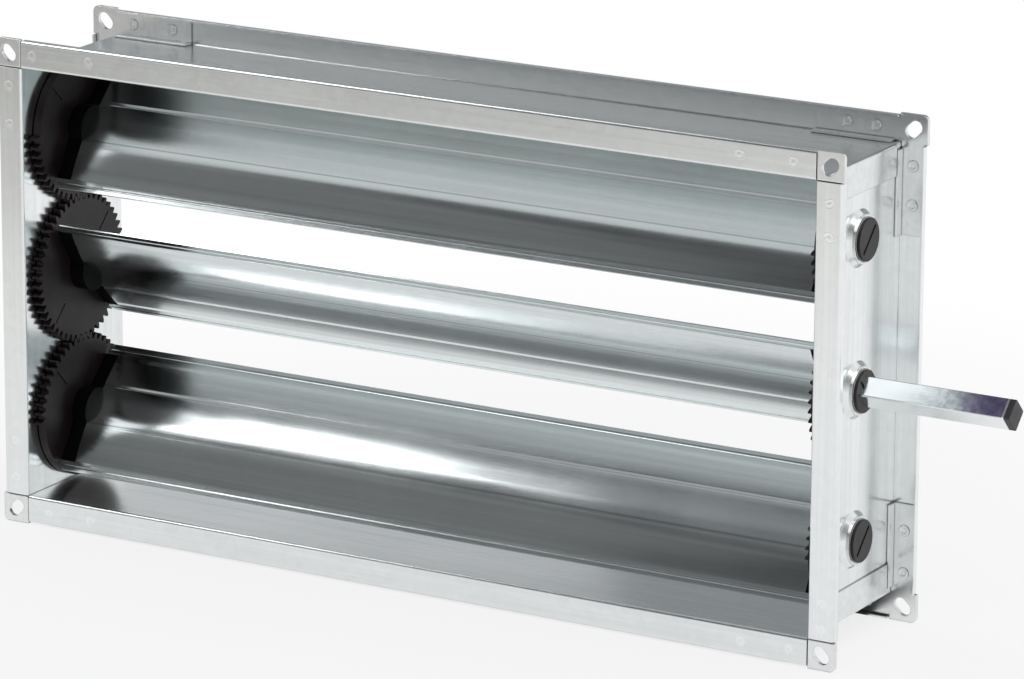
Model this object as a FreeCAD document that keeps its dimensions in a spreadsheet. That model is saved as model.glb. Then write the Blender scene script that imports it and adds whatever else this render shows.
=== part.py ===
import FreeCAD, Part
import math
import os
import re

import Sketcher
from FreeCAD import Placement, Rotation, Vector

# Opposed-blade duct damper: three hollow blades in a flanged sheet-steel frame,
# linked by toothed wheels at both ends and turned by one square shaft.
#
# Millimetres. The origin is the middle of the airway, on the middle blade's axis.
# +X runs along the blades to the drive side, +Y through the duct from the front
# face to the back, +Z up. The blades stand half open, as stored.

# Driving sizes
SIZES = {
    # Frame: four flanged channels
    "duct_width": 600,  # airway, along the blades
    "duct_depth": 120,  # over both flange faces
    "sheet_thickness": 1.25,
    "flange_width": 19,  # airway wall to the flange's folded edge
    "return_lip": 6,  # depth of the flange's folded edge
    "bend_radius": 0.8,  # inside a fold
    "tab_height": 20,  # end tab that folds over the side wall
    "tab_gap": 0.65,  # tab to the brackets' lips
    # Corner brackets behind the flanges
    "ear_width": 20,
    "ear_radius": 4,
    "ear_recess": 0.1,  # ear behind the flange's face
    "ear_gap": 0.4,  # ear to the flange's end
    "bracket_thickness": 1.5,
    "bracket_arm": 60,  # from the airway's corner
    "bracket_lip": 9,  # over the plate
    "bracket_fit": 0.1,
    "lip_setback": 3,  # where the bracket's lips stop short of the corner
    "slot_width": 9,
    "slot_length": 13,
    # Bearings in the side walls
    "collar_height": 5,
    "collar_wall": 1.25,
    "collar_flare": 3,
    "bush_wall": 2.2,
    "bush_fit": 0.05,
    "journal_radius": 12.5,
    "journal_clearance": 0.05,
    # Blades
    "blade_pitch": 100,
    "blade_angle": 45,  # from fully open, as stored
    "blade_sheet": 0.8,
    "lip_gap": 0.5,  # blade edge to the line where two blades meet
    "lip_band": 7.3,  # edge to the fold, on the face that dips
    "lip_band_far": 9.5,  # the same on the other face
    "lip_offset": 2.6,
    "lip_overrun": 9.5,  # edges run on past the blade's body
    "lip_groove_width": 1.8,
    "lip_groove_depth": 0.4,
    "lip_corner": 2.5,
    "ridge_place": 14.4,
    "ridge_height": 5.7,
    "ridge_radius": 12,
    "face_height": 4.9,
    "bead_place": 15.5,
    "bead_width": 3,
    "bead_depth": 0.9,
    "bead_rise": 0.2,  # far side of the bead below the near one
    "hollow_wall": 1.2,  # skin and fold at the ridge
    "hollow_end": 2.4,  # closed edge of the skins
    # End caps
    "cap_thickness": 11,
    "cap_inset": 0.3,
    "cap_tongue": 15,
    "cap_fit": 0.15,
    "cap_boss_radius": 15,
    # Toothed wheels
    "wheel_teeth": 50,
    "edge_teeth": 26,  # teeth on a wheel that meets only one other
    "wheel_width": 6,
    "wheel_wall_gap": 0.6,
    "pressure_angle": 20,
    "tooth_play": 0.3,  # taken off each tooth at the pitch line
    "root_clearance": 0.5,
    "mark_start": 30,  # radial moulding marks, from the axis
    "mark_end": 46,
    "mark_width": 1.2,
    "mark_depth": 0.8,
    # Position discs outside the walls
    "disc_radius": 14.2,
    "disc_thickness": 2,
    "disc_bevel": 0.4,
    "disc_gap": 0.3,
    "disc_slot_width": 2.2,
    "disc_slot_depth": 0.9,
    "disc_slot_length": 23,
    # Drive shaft
    "shaft_size": 15,
    "shaft_reach": 114,  # past the airway wall
    "shaft_bevel": 0.8,
    "shaft_fit": 0.1,
    "shaft_seat": 8,  # into the end cap
}

BLADES = {"top": 1, "middle": 0, "bottom": -1}  # place in pitches above the middle
SIDES = {"left": -1, "right": 1}

doc = FreeCAD.newDocument("Damper")
sheet = doc.addObject("Spreadsheet::Sheet", "Sizes")
for row, (alias, number) in enumerate(SIZES.items(), start=1):
    sheet.set(f"A{row}", alias)
    sheet.set(f"B{row}", str(number))
    sheet.setAlias(f"B{row}", alias)
doc.recompute()

# Places that several parts share, as expressions of the driving sizes
HALF_WIDTH = "(duct_width / 2)"
HALF_DEPTH = "(duct_depth / 2)"
HALF_HEIGHT = f"(blade_pitch * {len(BLADES)} / 2)"
OUTER_BEND = "(bend_radius + sheet_thickness)"
BRACKET_WALL = "(sheet_thickness + bracket_fit)"
TAB_LENGTH = f"(duct_depth - 2 * ({BRACKET_WALL} + bracket_lip + tab_gap))"
COLLAR_BORE = "(journal_radius + journal_clearance + bush_wall + bush_fit)"
COLLAR_END = f"({HALF_WIDTH} + sheet_thickness + collar_height)"
WHEEL_OUTER = f"({HALF_WIDTH} - wheel_wall_gap)"
WHEEL_INNER = f"({WHEEL_OUTER} - wheel_width)"
BLADE_END = f"({WHEEL_INNER} - cap_thickness)"
DISC_INNER = f"({COLLAR_END} + disc_gap)"
DISC_OUTER = f"({DISC_INNER} + disc_thickness)"
HALF_CHORD = "(blade_pitch / 2 - lip_gap)"
LIP_ROOT = f"({HALF_CHORD} - lip_band)"
LIP_ROOT_FAR = f"({HALF_CHORD} - lip_band_far)"
LIP_NEAR = "(lip_offset - blade_sheet)"
LIP_FAR = "(lip_offset + blade_sheet)"


# Helpers that read the sheet and tie features to it


def value(text):
    """The number that an expression of driving sizes gives."""
    return float(sheet.evalExpression(text))


def tie(thing, path, text):
    """Bind one property to an expression of driving sizes."""
    full = re.sub(r"[a-z_]+", lambda m: "Sizes." + m[0] if m[0] in SIZES else m[0], text)
    thing.setExpression(path, full)


def new_body(name):
    body = doc.addObject("PartDesign::Body", name)
    body.Label = name
    return body


def new_sketch(body, name, role, distance="0"):
    """A sketch on one of the body's own origin planes, moved along its normal."""
    sketch = body.newObject("Sketcher::SketchObject", f"{body.Name}_{name}")
    plane = next(f for f in body.Origin.OriginFeatures if f.Role == role)
    sketch.AttachmentSupport = [(plane, "")]
    sketch.MapMode = "FlatFace"
    tie(sketch, "AttachmentOffset.Base.z", distance)
    return sketch


def outline(sketch, points):
    """A closed outline whose corners are tied to the driving sizes."""
    corners = [Vector(value(x), value(y), 0) for x, y in points]
    first = sketch.GeometryCount
    count = len(corners)
    for i, corner in enumerate(corners):
        sketch.addGeometry(Part.LineSegment(corner, corners[(i + 1) % count]))
    for i, (corner, texts) in enumerate(zip(corners, points)):
        here = first + i
        sketch.addConstraint(Sketcher.Constraint("Coincident", here, 2, first + (i + 1) % count, 1))
        for kind, number, text in zip(("DistanceX", "DistanceY"), corner, texts):
            index = sketch.addConstraint(Sketcher.Constraint(kind, -1, 1, here, 1, number))
            tie(sketch, f"Constraints[{index}]", text)


def circle(sketch, x, y, radius):
    """A circle tied to the driving sizes."""
    centre = Vector(value(x), value(y), 0)
    here = sketch.addGeometry(Part.Circle(centre, Vector(0, 0, 1), value(radius)))
    rules = (
        ("DistanceX", (-1, 1, here, 3, centre.x), x),
        ("DistanceY", (-1, 1, here, 3, centre.y), y),
        ("Radius", (here, value(radius)), radius),
    )
    for kind, ends, text in rules:
        index = sketch.addConstraint(Sketcher.Constraint(kind, *ends))
        tie(sketch, f"Constraints[{index}]", text)


def solid_from(body, kind, sketch, length, backwards=False, symmetric=False):
    """A Pad or Pocket of a sketch, with its length tied to the driving sizes."""
    feature = body.newObject(f"PartDesign::{kind}", f"{sketch.Name}_{kind.lower()}")
    feature.Profile = sketch
    feature.Reversed = backwards
    if symmetric:
        feature.SideType = "Symmetric"
    tie(feature, "Length", length)
    doc.recompute()
    return feature


def edges_through(shape, along, places):
    """Names of the straight edges parallel to an axis that pass through the places.

    A place is a pair of coordinates on the two other axes, in X, Y, Z order.
    """
    axis = "XYZ".index(along)
    others = [i for i in range(3) if i != axis]
    names = []
    for number, edge in enumerate(shape.Edges, start=1):
        start, end = (v.Point for v in (edge.Vertexes[0], edge.Vertexes[-1]))
        if abs(end[axis] - start[axis]) < edge.Length * 0.999 or edge.Length < 1e-6:
            continue
        for place in places:
            if all(abs(start[i] - want) < 1e-4 for i, want in zip(others, place)):
                names.append(f"Edge{number}")
    return names


def circles_at(shape, centre, radius):
    """Names of the circular edges of this radius about a point."""
    names = []
    for number, edge in enumerate(shape.Edges, start=1):
        curve = edge.Curve
        if isinstance(curve, Part.Circle) and abs(curve.Radius - radius) < 1e-4:
            if (curve.Center - centre).Length < 1e-4:
                names.append(f"Edge{number}")
    return names


def dress_edges(body, name, kind, names, size):
    """Round or bevel the named edges of the body as it stands."""
    base = body.Tip
    feature = body.newObject(f"PartDesign::{kind}", f"{body.Name}_{name}")
    feature.Base = (base, names)
    tie(feature, "Radius" if kind == "Fillet" else "Size", size)
    doc.recompute()
    return feature


def round_edges(body, name, along, places, radius, kind="Fillet"):
    """Round or bevel the straight edges that pass through the places."""
    spots = [(value(a), value(b)) for a, b in places]
    return dress_edges(body, name, kind, edges_through(body.Tip.Shape, along, spots), radius)


def minus(text):
    return f"-({text})"


def both_ways(points):
    """The points, then the same ones turned half round, which closes a blade's outline."""
    return points + [(minus(x), minus(y)) for x, y in points]


# Frame


def channel(name, half_length):
    """A flanged wall, in its own frame: X along it, +Z outwards, inner face at Z = 0."""
    body = new_body(name)
    section = new_sketch(body, "section", "YZ_Plane", minus(half_length))
    corners = []
    for edge, sign in ((HALF_DEPTH, "1"), (HALF_DEPTH, "-1")):
        side = [
            (f"{sign} * ({edge})", "0"),
            (f"{sign} * ({edge})", "flange_width"),
            (f"{sign} * ({edge} - return_lip)", "flange_width"),
            (f"{sign} * ({edge} - return_lip)", "flange_width - sheet_thickness"),
            (f"{sign} * ({edge} - sheet_thickness)", "flange_width - sheet_thickness"),
            (f"{sign} * ({edge} - sheet_thickness)", "sheet_thickness"),
        ]
        corners += side if sign == "1" else side[::-1]
    outline(section, corners)
    solid_from(body, "Pad", section, f"2 * ({half_length})")
    outside = [(f"{sign} * {HALF_DEPTH}", z) for sign in ("1", "-1") for z in ("0", "flange_width")]
    round_edges(body, "outer_bends", "X", outside, OUTER_BEND)
    inside = [
        (f"{sign} * ({HALF_DEPTH} - sheet_thickness)", z)
        for sign in ("1", "-1")
        for z in ("sheet_thickness", "flange_width - sheet_thickness")
    ]
    round_edges(body, "inner_bends", "X", inside, "bend_radius")
    return body


def add_end_tabs(body):
    """The top and bottom walls close over the side walls, with a tab folded down outside."""
    for side, sign in SIDES.items():
        cover = new_sketch(body, f"cover_{side}", "XZ_Plane")
        outline(cover, [
            (f"{sign} * {HALF_WIDTH}", "0"),
            (f"{sign} * {HALF_WIDTH}", "sheet_thickness"),
            (f"{sign} * ({HALF_WIDTH} + sheet_thickness)", "sheet_thickness"),
            (f"{sign} * ({HALF_WIDTH} + sheet_thickness)", "0"),
        ])
        solid_from(body, "Pad", cover, f"duct_depth - 2 * ({OUTER_BEND} + bracket_thickness)", symmetric=True)
        tab = new_sketch(body, f"tab_{side}", "XZ_Plane")
        outline(tab, [
            (f"{sign} * ({HALF_WIDTH} + sheet_thickness)", "-tab_height"),
            (f"{sign} * ({HALF_WIDTH} + sheet_thickness)", "sheet_thickness"),
            (f"{sign} * ({HALF_WIDTH} + 2 * sheet_thickness)", "sheet_thickness"),
            (f"{sign} * ({HALF_WIDTH} + 2 * sheet_thickness)", "-tab_height"),
        ])
        solid_from(body, "Pad", tab, TAB_LENGTH, symmetric=True)
    outer = f"({HALF_WIDTH} + 2 * sheet_thickness)"
    folds = [(f"{sign} * {outer}", "sheet_thickness") for sign in SIDES.values()]
    round_edges(body, "tab_folds", "Y", folds, OUTER_BEND)


def add_bearing_collars(body):
    """A collar drawn outwards round each blade's bearing hole."""
    outer = f"{COLLAR_BORE} + collar_wall"
    top = "sheet_thickness + collar_height"
    for blade, place in BLADES.items():
        along = f"{place} * blade_pitch"
        boss = new_sketch(body, f"collar_{blade}", "XY_Plane", "0")
        circle(boss, along, "0", outer)
        solid_from(body, "Pad", boss, top)
        foot = Vector(value(along), 0, value("sheet_thickness"))
        root = circles_at(body.Tip.Shape, foot, value(outer))
        dress_edges(body, f"flare_{blade}", "Chamfer", root, "collar_flare")
    for blade, place in BLADES.items():
        hole = new_sketch(body, f"bore_{blade}", "XY_Plane", top)
        circle(hole, f"{place} * blade_pitch", "0", COLLAR_BORE)
        solid_from(body, "Pocket", hole, top)


def frame_walls():
    """Four walls: the top and bottom ones carry the tabs, the side ones the bearings."""
    turns = {"top": 0, "right": 90, "bottom": 180, "left": 270}
    for name, turn in turns.items():
        upright = name in SIDES
        body = channel(f"channel_{name}", HALF_HEIGHT if upright else HALF_WIDTH)
        if upright:
            add_bearing_collars(body)
        else:
            add_end_tabs(body)
        out = value(HALF_WIDTH if upright else HALF_HEIGHT)
        turned = Rotation(Vector(0, 1, 0), turn)
        body.Placement = Placement(turned.multVec(Vector(0, 0, out)), turned)
        yield body


def corner_bracket(name):
    """An angle bracket, in its own frame: the airway's corner at the origin, the ear at +X +Z.

    Its plate lies behind the two flanges and its lips on the two walls. Its ear is pressed
    forward to the flanges' face, which leaves a hollow behind it.
    """
    body = new_body(name)
    wall = BRACKET_WALL
    rim = "flange_width - sheet_thickness - bracket_fit"
    plate = new_sketch(body, "plate", "XZ_Plane", minus(wall))
    outline(plate, [
        (wall, wall),
        (minus("bracket_arm"), wall),
        (minus("bracket_arm"), rim),
        ("ear_gap", rim),
        ("ear_gap", "ear_width"),
        ("ear_width", "ear_width"),
        ("ear_width", "ear_gap"),
        (rim, "ear_gap"),
        (rim, minus("bracket_arm")),
        (wall, minus("bracket_arm")),
    ])
    solid_from(body, "Pad", plate, "bracket_thickness", backwards=True)
    ear = new_sketch(body, "ear", "XZ_Plane", minus("ear_recess"))
    outline(ear, [
        ("ear_gap", "ear_gap"),
        ("ear_width", "ear_gap"),
        ("ear_width", "ear_width"),
        ("ear_gap", "ear_width"),
    ])
    solid_from(body, "Pad", ear, f"{wall} - ear_recess + bracket_thickness", backwards=True)
    over = f"{wall} + bracket_thickness"
    step = "ear_gap + bracket_thickness"
    hollow = new_sketch(body, "hollow", "XZ_Plane", minus(over))
    beyond = "2 * ear_width"
    outline(hollow, [(step, step), (beyond, step), (beyond, beyond), (step, beyond)])
    solid_from(body, "Pocket", hollow, f"{wall} - ear_recess")
    lips = new_sketch(body, "lips", "XZ_Plane", minus(wall))
    outline(lips, [
        (minus("bracket_arm"), wall),
        (minus("lip_setback"), wall),
        (minus("lip_setback"), over),
        (minus("bracket_arm"), over),
    ])
    outline(lips, [
        (wall, minus("bracket_arm")),
        (wall, minus("lip_setback")),
        (over, minus("lip_setback")),
        (over, minus("bracket_arm")),
    ])
    solid_from(body, "Pad", lips, "bracket_lip", backwards=True)
    cut_slot(body, "ear_width / 2", "ear_width / 2")
    round_edges(body, "ear_corner", "Y", [("ear_width", "ear_width")], "ear_radius")
    for axis, edge in (("X", ("ear_recess", "ear_gap")), ("Z", ("ear_gap", "ear_recess"))):
        round_edges(body, f"ear_step_{axis}", axis, [edge], "bend_radius")
    for axis, edges in (("X", [(wall, wall), (wall, rim)]), ("Z", [(wall, wall), (rim, wall)])):
        round_edges(body, f"bends_{axis}", axis, edges, "bend_radius + bracket_fit")
    return body


def cut_slot(body, x, z):
    """A fixing slot that points at the middle of the duct, for a bolt through two frames."""
    half_run = "(slot_length - slot_width) / 2"
    diagonal = Rotation(Vector(0, 1, 0), -45)
    centre = Vector(value(x), 0, value(z))
    for end, sign in (("near", -1), ("far", 1)):
        round_end = body.newObject("PartDesign::SubtractiveCylinder", f"{body.Name}_slot_{end}")
        tie(round_end, "Radius", "slot_width / 2")
        tie(round_end, "Height", "bracket_lip")
        place = centre + diagonal.multVec(Vector(sign * value(half_run), 0, 0))
        round_end.Placement = Placement(place, Rotation(Vector(1, 0, 0), -90))
    middle = body.newObject("PartDesign::SubtractiveBox", f"{body.Name}_slot_middle")
    tie(middle, "Length", "slot_length - slot_width")
    tie(middle, "Width", "bracket_lip")
    tie(middle, "Height", "slot_width")
    corner = Vector(-value(half_run), 0, -value("slot_width / 2"))
    middle.Placement = Placement(centre + diagonal.multVec(corner), diagonal)
    doc.recompute()


def corner_brackets():
    """Eight alike: four behind the front flanges, four behind the back ones."""
    corners = {"top_right": (1, 1, 0), "bottom_right": (1, -1, 90),
               "bottom_left": (-1, -1, 180), "top_left": (-1, 1, 270)}
    half_over = Rotation(Vector(1, 0, 1), 180)
    for face, depth in (("front", -1), ("back", 1)):
        for corner, (across, up, turn) in corners.items():
            body = corner_bracket(f"bracket_{face}_{corner}")
            turned = Rotation(Vector(0, 1, 0), turn)
            if face == "back":
                turned = turned * half_over
            place = Vector(across * value(HALF_WIDTH), depth * value(HALF_DEPTH), up * value(HALF_HEIGHT))
            body.Placement = Placement(place, turned)
            yield body


def cylinder(name, radius, height):
    made = doc.addObject("Part::Cylinder", name)
    tie(made, "Radius", radius)
    tie(made, "Height", height)
    return made


def bearing_bush(blade, side):
    """A plastic ring in the wall's collar, in which the wheel's journal turns."""
    name = f"bush_{blade}_{side}"
    length = f"{COLLAR_END} - {HALF_WIDTH}"
    outside = cylinder(f"{name}_outside", f"{COLLAR_BORE} - bush_fit", length)
    inside = cylinder(f"{name}_inside", "journal_radius + journal_clearance", length)
    ring = doc.addObject("Part::Cut", name)
    ring.Label = name
    ring.Base = outside
    ring.Tool = inside
    doc.recompute()
    ring.Placement = Placement(
        Vector(SIDES[side] * value(HALF_WIDTH), 0, BLADES[blade] * value("blade_pitch")),
        Rotation(Vector(0, 1, 0), 90 * SIDES[side]),
    )
    return ring


# Blades


def blade_placement(blade):
    """A blade lies flat in its own frame. The middle one is turned end for end, so that
    neighbours close against each other."""
    tilt = Rotation(Vector(1, 0, 0), value("blade_angle"))
    if blade == "middle":
        tilt = Rotation(Vector(0, 1, 0), 180) * tilt
    return Placement(Vector(0, 0, BLADES[blade] * value("blade_pitch")), tilt)


def blade_side(blade, side):
    """Which end of the blade's own frame lies on this side of the duct."""
    return -SIDES[side] if blade == "middle" else SIDES[side]


def blade_shell(blade):
    """A hollow blade: two rolled skins, alike when turned half round, closed at the edges."""
    body = new_body(f"blade_shell_{blade}")
    skin = new_sketch(body, "skin", "YZ_Plane", minus(BLADE_END))
    outline(skin, both_ways([
        (minus(HALF_CHORD), minus(LIP_NEAR)),
        (minus(LIP_ROOT), minus(LIP_NEAR)),
        ("-ridge_place", "ridge_height"),
        ("bead_place", "face_height"),
        ("bead_place + bead_width / 2", "face_height - bead_depth"),
        ("bead_place + bead_width", "face_height - bead_rise"),
        (LIP_ROOT_FAR, LIP_FAR),
        (HALF_CHORD, LIP_FAR),
    ]))
    solid_from(body, "Pad", skin, f"2 * {BLADE_END}")
    ridges = [(f"{sign} * ridge_place", f"-{sign} * ridge_height") for sign in ("-1", "1")]
    round_edges(body, "ridges", "X", ridges, "ridge_radius")
    hollow = new_sketch(body, "hollow", "YZ_Plane", BLADE_END)
    outline(hollow, hollow_outline("0"))
    solid_from(body, "Pocket", hollow, f"2 * {BLADE_END}")
    for side, sign in SIDES.items():
        add_lip_ends(body, side, sign)
    cut_lip_grooves(body)
    body.Placement = blade_placement(blade)
    return body


def add_lip_ends(body, side, sign):
    """Both edges run on past the blade's body, with a rounded corner."""
    for edge, flip in (("front", -1), ("back", 1)):
        lip = new_sketch(body, f"lip_{edge}_{side}", "XY_Plane", f"{flip} * {LIP_NEAR}")
        end = f"{BLADE_END} + lip_overrun"
        outline(lip, [
            (f"{sign} * {BLADE_END}", f"{flip} * {HALF_CHORD}"),
            (f"{sign} * ({end} - lip_corner)", f"{flip} * {HALF_CHORD}"),
            (f"{sign} * ({end})", f"{flip} * ({HALF_CHORD} - lip_corner)"),
            (f"{sign} * ({end})", f"{flip} * {LIP_ROOT}"),
            (f"{sign} * {BLADE_END}", f"{flip} * {LIP_ROOT}"),
        ])
        solid_from(body, "Pad", lip, "2 * blade_sheet", backwards=flip < 0)


def cut_lip_grooves(body):
    """A shallow groove along both faces of each edge, where the folded sheet closes."""
    middle = f"({HALF_CHORD} - lip_band / 2)"
    half = "lip_groove_width / 2"
    past_end = f"({BLADE_END} + lip_overrun + lip_corner)"
    for face, (near, sign) in {"near": (LIP_NEAR, 1), "far": (LIP_FAR, -1)}.items():
        groove = new_sketch(body, f"groove_{face}", "YZ_Plane", past_end)
        for flip in (-1, 1):
            outline(groove, [
                (f"{flip} * ({middle} - {half})", f"{flip} * {near}"),
                (f"{flip} * {middle}", f"{flip} * ({near} + {sign} * lip_groove_depth)"),
                (f"{flip} * ({middle} + {half})", f"{flip} * {near}"),
            ])
        solid_from(body, "Pocket", groove, f"2 * {past_end}")


def hollow_outline(inset):
    """The space between a blade's skins, or a tongue that fits it with a clearance."""
    return both_ways([
        (f"-({LIP_ROOT_FAR} - hollow_end - 2 * {inset})", "-lip_offset"),
        ("-ridge_place", f"ridge_height - hollow_wall - {inset}"),
        ("bead_place", f"face_height - blade_sheet - bead_depth - {inset}"),
    ])


def end_cap(blade, side):
    """A plastic cap: a block of the blade's outline with a round boss, and a tongue inside."""
    sign = blade_side(blade, side)
    body = new_body(f"cap_{blade}_{side}")
    block = new_sketch(body, "block", "YZ_Plane", f"{sign} * {BLADE_END}")
    outline(block, both_ways([
        (f"-({LIP_ROOT} - 2 * cap_inset)", f"-{LIP_NEAR}"),
        ("-ridge_place", "ridge_height - cap_inset"),
        ("bead_place", "face_height - bead_depth - cap_inset"),
        (f"{LIP_ROOT} - 2 * cap_inset", f"{LIP_FAR} - cap_inset"),
    ]))
    solid_from(body, "Pad", block, "cap_thickness", backwards=sign < 0)
    boss = new_sketch(body, "boss", "YZ_Plane", f"{sign} * {BLADE_END}")
    circle(boss, "0", "0", "cap_boss_radius")
    solid_from(body, "Pad", boss, "cap_thickness", backwards=sign < 0)
    tongue = new_sketch(body, "tongue", "YZ_Plane", f"{sign} * {BLADE_END}")
    outline(tongue, hollow_outline("cap_fit"))
    solid_from(body, "Pad", tongue, "cap_tongue", backwards=sign > 0)
    if (blade, side) == ("middle", "right"):
        socket = new_sketch(body, "socket", "YZ_Plane", f"{sign} * {WHEEL_INNER}")
        square(socket, "shaft_size / 2 + shaft_fit")
        solid_from(body, "Pocket", socket, "shaft_seat + shaft_fit", backwards=sign < 0)
    body.Placement = blade_placement(blade)
    return body


def square(sketch, half):
    outline(sketch, [(half, half), (minus(half), half), (minus(half), minus(half)), (half, minus(half))])


# Toothed wheels


def tooth_half_angle(radius, pitch_radius):
    """Half the angle that a tooth spans at this radius, by the involute of the base circle."""
    pressure = math.radians(value("pressure_angle"))
    here = math.acos(min(1.0, pitch_radius * math.cos(pressure) / radius))
    at_pitch = math.pi / (2 * value("wheel_teeth")) - value("tooth_play") / (2 * pitch_radius)
    return at_pitch + (math.tan(pressure) - pressure) - (math.tan(here) - here)


def on_circle(radius, angle):
    return Vector(0, radius * math.cos(angle), radius * math.sin(angle))


def toothed_disc(angles):
    """A disc with involute teeth centred at these angles, and plain at its root elsewhere."""
    pitch_radius = value("blade_pitch / 2")
    module = 2 * pitch_radius / value("wheel_teeth")
    root = pitch_radius - module - value("root_clearance")
    radii = (root, pitch_radius, pitch_radius + module)
    rise = [(r, -tooth_half_angle(r, pitch_radius)) for r in radii]
    fall = [(r, -turn) for r, turn in reversed(rise)]
    points = [on_circle(r, angle + turn) for angle in angles for r, turn in rise + fall]
    edges = [Part.LineSegment(a, b).toShape() for a, b in zip(points, points[1:])]
    if len(angles) < value("wheel_teeth"):
        plain = on_circle(root, (angles[0] + angles[-1]) / 2 + math.pi)
        edges.append(Part.Arc(points[-1], plain, points[0]).toShape())
    else:
        edges.append(Part.LineSegment(points[-1], points[0]).toShape())
    disc = Part.Face(Part.Wire(edges))
    return disc.extrude(Vector(value("wheel_width"), 0, 0))


def wheel(blade, side):
    """A toothed wheel with its journal. The middle one meets two others and is toothed all
    round; the outer two have teeth only on the side that meets it, to clear the duct's walls."""
    name = f"wheel_{blade}_{side}"
    step = 2 * math.pi / value("wheel_teeth")
    if blade == "middle":
        angles = [math.pi / 2 + k * step for k in range(int(value("wheel_teeth")))]
    else:
        count = int(value("edge_teeth"))
        angles = [math.pi / 2 + (k - (count - 1) / 2) * step for k in range(count)]
    disc = toothed_disc(angles)
    journal_length = value(f"{DISC_INNER} - {WHEEL_OUTER}")
    journal = Part.makeCylinder(value("journal_radius"), journal_length,
                                Vector(value("wheel_width"), 0, 0), Vector(1, 0, 0))
    shape = disc.fuse(journal).removeSplitter().cut(moulding_marks(blade, side))
    if (blade, side) == ("middle", "right"):
        shape = shape.cut(shaft_hole(0, value("wheel_width") + journal_length))
    feature = doc.addObject("Part::Feature", name)
    feature.Label = name
    feature.Shape = shape
    # Built with its journal to +X and its teeth at +Z, so turned for the other places.
    turn = Rotation(Vector(1, 0, 0), 180 if blade == "top" else 0)
    if side == "left":
        turn = Rotation(Vector(0, 0, 1), 180) * turn
    feature.Placement = Placement(
        Vector(SIDES[side] * value(WHEEL_INNER), 0, BLADES[blade] * value("blade_pitch")), turn)
    return feature


def moulding_marks(blade, side):
    """Two radial grooves in the face towards the blade, square to the blade."""
    tilt = value("blade_angle")
    turn = 90 - tilt if blade == "middle" else 90 + tilt
    if side == "left":
        turn = 180 - turn
    start, length = value("mark_start"), value("mark_end - mark_start")
    width = value("mark_width")
    grooves = []
    for half_turn in (0, 180):
        groove = Part.makeBox(value("mark_depth"), length, width, Vector(0, start, -width / 2))
        groove.rotate(Vector(0, 0, 0), Vector(1, 0, 0), turn + half_turn)
        grooves.append(groove)
    return grooves


def shaft_hole(start, length):
    """The square hole for the drive shaft, turned with the middle blade."""
    half = value("shaft_size / 2 + shaft_fit")
    hole = Part.makeBox(length, 2 * half, 2 * half, Vector(start, -half, -half))
    hole.rotate(Vector(0, 0, 0), Vector(1, 0, 0), value("blade_angle"))
    return hole


def position_disc(blade, side):
    """The disc outside the wall, with a slot across it in line with the blade."""
    sign = blade_side(blade, side)
    body = new_body(f"disc_{blade}_{side}")
    face = new_sketch(body, "face", "YZ_Plane", f"{sign} * {DISC_INNER}")
    circle(face, "0", "0", "disc_radius")
    solid_from(body, "Pad", face, "disc_thickness", backwards=sign < 0)
    outside = Vector(sign * value(DISC_OUTER), 0, 0)
    rim = circles_at(body.Tip.Shape, outside, value("disc_radius"))
    dress_edges(body, "bevel", "Chamfer", rim, "disc_bevel")
    slot = new_sketch(body, "slot", "YZ_Plane", f"{sign} * {DISC_OUTER}")
    half_long, half_wide = "disc_slot_length / 2", "disc_slot_width / 2"
    outline(slot, [
        (half_long, half_wide),
        (minus(half_long), half_wide),
        (minus(half_long), minus(half_wide)),
        (half_long, minus(half_wide)),
    ])
    solid_from(body, "Pocket", slot, "disc_slot_depth", backwards=sign < 0)
    if (blade, side) == ("middle", "right"):
        hole = new_sketch(body, "hole", "YZ_Plane", f"{sign} * {DISC_OUTER}")
        square(hole, "shaft_size / 2 + shaft_fit")
        solid_from(body, "Pocket", hole, "disc_thickness", backwards=sign < 0)
    body.Placement = blade_placement(blade)
    return body


def drive_shaft():
    """The square shaft, seated in the middle blade's cap and wheel, long edges broken."""
    body = new_body("drive_shaft")
    sign = blade_side("middle", "right")
    start = f"{WHEEL_INNER} - shaft_seat"
    end = f"{HALF_WIDTH} + shaft_reach"
    section = new_sketch(body, "section", "YZ_Plane", f"{sign} * ({start})")
    half = "shaft_size / 2"
    square(section, half)
    solid_from(body, "Pad", section, f"{end} - ({start})", backwards=sign < 0)
    long_edges = [(y, z) for y in (half, minus(half)) for z in (half, minus(half))]
    round_edges(body, "long_edges", "X", long_edges, "shaft_bevel", kind="Chamfer")
    body.Placement = blade_placement("middle")
    return body


def build():
    """Every sub-part, in the order of assembly."""
    parts = list(frame_walls()) + list(corner_brackets())
    for blade in BLADES:
        parts.append(blade_shell(blade))
        for side in SIDES:
            parts.append(bearing_bush(blade, side))
            parts.append(end_cap(blade, side))
            parts.append(wheel(blade, side))
            parts.append(position_disc(blade, side))
    parts.append(drive_shaft())
    return parts


def check(parts):
    """Stop if any feature failed or any sub-part is empty or broken."""
    doc.recompute()
    for thing in doc.Objects:
        if {"Invalid", "Error"} & set(thing.State):
            raise RuntimeError(f"{thing.Name} failed: {thing.State}")
    for part in parts:
        if part.Shape.isNull() or not part.Shape.isValid() or not part.Shape.Solids:
            raise RuntimeError(f"{part.Label} has no sound shape")


def export(parts):
    os.makedirs("parts", exist_ok=True)
    for part in parts:
        part.Shape.exportStep(f"parts/{part.Label}.step")
        box = part.Shape.BoundBox
        print(f"{part.Label:28} {part.Shape.Volume:10.0f} mm3  {len(part.Shape.Faces):4} faces  "
              f"x {box.XMin:7.1f} {box.XMax:7.1f}  y {box.YMin:6.1f} {box.YMax:6.1f}  "
              f"z {box.ZMin:7.1f} {box.ZMax:7.1f}")


parts = build()
check(parts)
export(parts)
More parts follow.
